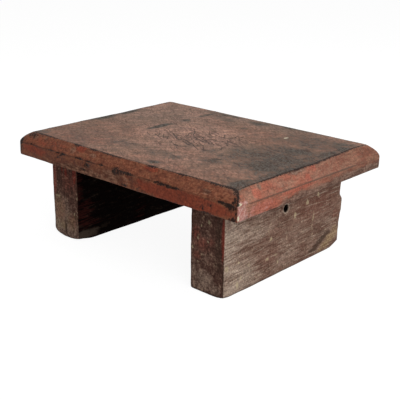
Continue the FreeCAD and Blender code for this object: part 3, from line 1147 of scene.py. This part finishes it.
def leg_fields(leg, outward, side, front):
    """Where a leg is bare, red, raw, pale or stained, where shade is painted at its foot and under the seat,
    and where it is sooty and painted near-black as shade, for its material.

    side and front hold lists of marks by those names. Only the right leg, whose outward way is 1, has a hole.
    """
    points, normals = mesh_points(leg)
    z = points[:, 2]
    by_side, by_front = points[:, [1, 2]], points[:, [0, 2]]
    from_hole = np.hypot(*(by_side - HOLE_PLACE[1:]).T) - HOLE_RADIUS
    from_hole = np.where(outward > 0, from_hole, np.inf)
    on_outer = smoothstep(*LEG_FACES_OUT, outward * normals[:, 0])
    on_inner = smoothstep(*LEG_FACES_OUT, -outward * normals[:, 0])
    on_end = smoothstep(*LEG_FACES_OUT, np.abs(normals[:, 1])) * (from_hole > HOLE_BARE)
    on_front = on_end * (normals[:, 1] < 0)
    # How near the seat a point is, for a band painted dark as the seat's shade
    near_seat = fading(UNDERSIDE - z, SEAT_SHADE_REACH)
    fields = mark_fields([
        (on_outer, by_side, side),
        (on_front, by_front, front),
        (on_inner, by_side, INNER_MARKS),
    ])
    set_fields(leg, fields | {
        "end": on_end,
        # Soot and painted shade: near-black on the inner sides and in the hole, and half as much in a band
        # under the seat
        "soot_and_shade": np.max([on_inner, 0.5 * near_seat, from_hole < HOLE_WALL], axis=0),
        "bare": np.maximum(fields["bare"], from_hole < HOLE_BARE),
        # The foot's worn edge is darkened too, with painted contact shade along the floor.
        "stain_and_shade": np.maximum(fields["stain_and_shade"], fading(z, FOOT_WEAR_AND_SHADE)),
    })


# Wood of the legs

# The legs' grain runs a little uphill to the back
GRAIN_TILT = (1.5, 0, 0)


def leg_patterns(look):
    """The noises and fields that several of the legs' colours share."""
    seen = SimpleNamespace(bare=look.field("bare"), red=look.field("red"))
    seen.fibre = look.noise(2.2, 11, (1, 12, 1), detail=2, turn=GRAIN_TILT, bend=0.7)
    seen.thread = look.noise(1.7, 17, (1, 14, 1), detail=1, turn=GRAIN_TILT, bend=0.8)
    seen.streak = look.noise(6, 12, (1, 5, 1), detail=4, turn=GRAIN_TILT, bend=0.5)
    seen.blotch = look.noise(10, 14, detail=5)
    seen.speck = look.noise(3.2, 15, detail=3)
    seen.grit = look.noise(1.9, 18, detail=1)
    seen.patch = look.total((seen.fibre, 0.3), (seen.streak, 0.4), (look.noise(38, 13, (1, 1.6, 1)), 0.3))
    return seen


def leg_side(look, seen):
    """The sides: brown, bleached along the grain, with some red left."""
    side = look.between(seen.patch, 0.42, 0.58, colour(103, 75, 64), colour(132, 106, 92))
    weathered = look.between(seen.fibre, 0.36, 0.64, colour(143, 123, 108), colour(178, 158, 142))
    side = look.mix(look.ragged(seen.bare, seen.patch, 3.0, 0.6), side, weathered, 0.9)
    side = look.mix(look.ragged(seen.red, seen.patch, 3.0, 0.4), side, colour(108, 66, 55), 0.6)
    side = look.mix(look.step(seen.thread, 0.55, 0.68), side, colour(172, 152, 134), 0.55)
    side = look.mix(look.step(seen.fibre, 0.43, 0.34), side, colour(76, 56, 47), 0.25)
    return look.shaded(side, seen.grit, 0.4)


def leg_front(look, seen):
    """The end grain of the fronts and backs: dull brown, scraped paler, with some red left."""
    drips = look.noise(3, 16, (1, 1, 6), detail=2)
    mottle = look.total((seen.blotch, 0.35), (seen.speck, 0.4), (drips, 0.25))
    dull = look.between(mottle, 0.3, 0.7, colour(76, 51, 44), colour(102, 71, 61))
    scraped = look.between(mottle, 0.34, 0.66, colour(118, 95, 83), colour(168, 142, 125))
    front = look.mix(look.ragged(seen.bare, mottle, 2.6, 0.7), dull, scraped)
    front = look.mix(look.ragged(seen.red, mottle, 2.6, 0.45), front, colour(140, 60, 49), 0.7)
    return look.shaded(front, seen.grit, 0.4)


def leg_soot_and_shade(look, seen):
    """The inner sides: dark wood painted nearly black as shade, scuffed and dusty in places."""
    soot_and_shade = look.between(seen.patch, 0.38, 0.62, colour(2, 0, 0), colour(10, 3, 3))
    scuffs = look.total((seen.thread, 0.8), (seen.blotch, 0.2))
    soot_and_shade = look.mix(look.ragged(look.field("scuffed"), scuffs, 2.6, 0.3), soot_and_shade, colour(74, 34, 30), 0.5)
    dust = look.total((seen.streak, 0.6), (seen.speck, 0.4))
    return look.mix(look.ragged(look.field("dusty"), dust, 3.0, 0.5), soot_and_shade, colour(92, 78, 67), 0.6)


def leg_wood():
    """Weathered wood, grey and tan along the grain, with remains of dark red paint, soot and painted shade.
    """
    look = Look("weathered_leg_wood")
    seen = leg_patterns(look)
    base = look.mix(look.field("end"), leg_side(look, seen), leg_front(look, seen))
    base = look.shaded(base, seen.speck, 0.3)

    splinters = look.total((seen.fibre, 0.5), (seen.speck, 0.5))
    raw_wood = look.between(splinters, 0.4, 0.6, colour(112, 84, 60), colour(172, 148, 114))
    base = look.mix(look.patches(look.field("raw"), seen.patch, 2.4, 0.7), base, raw_wood, 0.85)
    # Stains, with painted shade along the foot and under the seat
    stain_and_shade = look.ragged(look.field("stain_and_shade"), seen.patch, 2.4, 0.5)
    base = look.mix(stain_and_shade, base, colour(58, 43, 35), 0.75)
    pale = look.ragged(look.field("pale"), look.total((seen.speck, 0.6), (seen.blotch, 0.4)), 3.0, 0.35)
    base = look.mix(pale, base, colour(194, 176, 142), 0.62)
    # Soot and painted shade, near-black on the inner sides, in the hole and under the seat
    base = look.mix(look.field("soot_and_shade"), base, leg_soot_and_shade(look, seen))

    roughness = look.total((seen.speck, 0.3), (look.field("soot_and_shade"), 0.2), (1.0, 0.6))
    height = look.total((seen.fibre, 0.4), (seen.streak, 0.5), (seen.blotch, 0.3), (stain_and_shade, -0.3))
    return look.finish(base, roughness, height, gloss=0.03)


# Keys and pegs

def joinery_wood():
    """Bare old wood that the weather hasn't reached."""
    look = Look("joinery_wood")
    grain = look.noise(2.4, 21, (1, 8, 1))
    speck = look.noise(1.6, 22)
    base = look.between(grain, 0.3, 0.7, colour(66, 46, 35), colour(112, 82, 62))
    base = look.shaded(base, speck, 0.3)
    roughness = look.total((speck, 0.2), (1.0, 0.6))
    return look.finish(base, roughness, look.total((grain, 0.3), (speck, 0.15)), gloss=0.1)


# Camera, floor and light

# The camera's place in millimetres and its turns in degrees, as fitted to the photograph's straight edges
CAMERA_PLACE = (751.6, -839.1, 446.1)
CAMERA_YAW = 41.60
CAMERA_PITCH = 18.97
CAMERA_ROLL = 1.10
FOCAL_PIXELS = 838.0
IMAGE_PIXELS = 400
SENSOR_MM = 36.0

# Lamps, each with the way to it, its size in metres and its level, all at one distance in metres
LAMP_DISTANCE = 2.0
LAMPS = {
    "key_light": ((0.84, -0.36, 0.46), 1.4, 0.54),
    "back_light": ((0.62, 0.62, 0.48), 1.4, 0.27),
    "top_light": ((-0.1, 0.1, 1.0), 1.6, 0.23),
}
SURROUND_LEVEL = 0.27

# The floor's half width, its grey for light that falls on it, and its grey and glow as it is seen
FLOOR_HALF = 12000.0
FLOOR_LIT = 0.5
FLOOR_SEEN = 0.16
FLOOR_GLOW = 0.93


def camera():
    """The camera at the photograph's viewpoint."""
    data = bpy.data.cameras.new("camera")
    data.sensor_width = SENSOR_MM
    data.lens = FOCAL_PIXELS * SENSOR_MM / IMAGE_PIXELS
    thing = linked("camera", data)
    place = Matrix.Translation(Vector(CAMERA_PLACE) * MM)
    for axis, angle in (("Z", CAMERA_YAW), ("X", 90 - CAMERA_PITCH), ("Z", CAMERA_ROLL)):
        place = place @ Matrix.Rotation(math.radians(angle), 4, axis)
    thing.matrix_world = place
    bpy.context.scene.camera = thing


def lamp(name, towards, size, level):
    """A square soft lamp that lights a surface facing it as brightly as level times its colour."""
    data = bpy.data.lights.new(name, "AREA")
    data.shape = "SQUARE"
    data.size = size
    data.energy = level * (math.pi * LAMP_DISTANCE) ** 2
    thing = linked(name, data)
    way = Vector(towards).normalized()
    thing.location = way * LAMP_DISTANCE
    thing.rotation_euler = way.to_track_quat("Z", "Y").to_euler()


def light():
    """Soft light from the right and from behind it, a weaker one from above, and a pale surround."""
    for name, (towards, size, level) in LAMPS.items():
        lamp(name, towards, size, level)
    world = bpy.data.worlds.new("surround")
    world.use_nodes = True
    nodes = Nodes(world.node_tree)
    levels = {"Value": nodes.seen_directly(), "To Min": SURROUND_LEVEL, "To Max": 1.0}
    back = world.node_tree.nodes["Background"].inputs
    nodes.feed(back["Strength"], nodes.node("ShaderNodeMapRange", levels).outputs["Result"])
    nodes.feed(back["Color"], grey(1.0))
    bpy.context.scene.world = world


def floor():
    """A wide pale floor that keeps a soft shadow and looks white where it is lit."""
    corners = [(x * FLOOR_HALF, y * FLOOR_HALF, 0) for x, y in ((-1, -1), (1, -1), (1, 1), (-1, 1))]
    thing = new_object("floor", corners, [(0, 1, 2, 3)])
    paint = bpy.data.materials.new("pale_floor")
    paint.use_nodes = True
    paint.node_tree.nodes.clear()
    nodes = Nodes(paint.node_tree)
    lit = nodes.node("ShaderNodeBsdfDiffuse", {"Color": grey(FLOOR_LIT)}).outputs[0]
    seen = nodes.node("ShaderNodeBsdfDiffuse", {"Color": grey(FLOOR_SEEN)}).outputs[0]
    glow = nodes.node("ShaderNodeEmission", {"Strength": FLOOR_GLOW}).outputs[0]
    both = nodes.node("ShaderNodeAddShader", {0: seen, 1: glow}).outputs[0]
    pick = nodes.node("ShaderNodeMixShader", {0: nodes.seen_directly(), 1: lit, 2: both}).outputs[0]
    nodes.node("ShaderNodeOutputMaterial", {"Surface": pick})
    thing.data.materials.append(paint)


# The scene

bpy.context.scene.view_settings.view_transform = "Standard"
camera()
light()
floor()

old_paint = seat_paint()
old_wood = leg_wood()
inner_wood = joinery_wood()

for make, node, slot, finish in (
    (seat, "seat_plank", "painted_seat_wood", old_paint),
    (left_leg, "left_leg", "weathered_leg_wood", old_wood),
    (right_leg, "right_leg", "weathered_leg_wood", old_wood),
):
    piece = make()
    piece.data.materials.clear()
    piece.data.materials.append(finish)
    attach(piece, "root")
    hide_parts(node)

for node in ("left_trench_key", "right_trench_key", "left_key_peg", "right_key_peg"):
    for slot in frame["nodes"][node].material_slots:
        slot.material = inner_wood
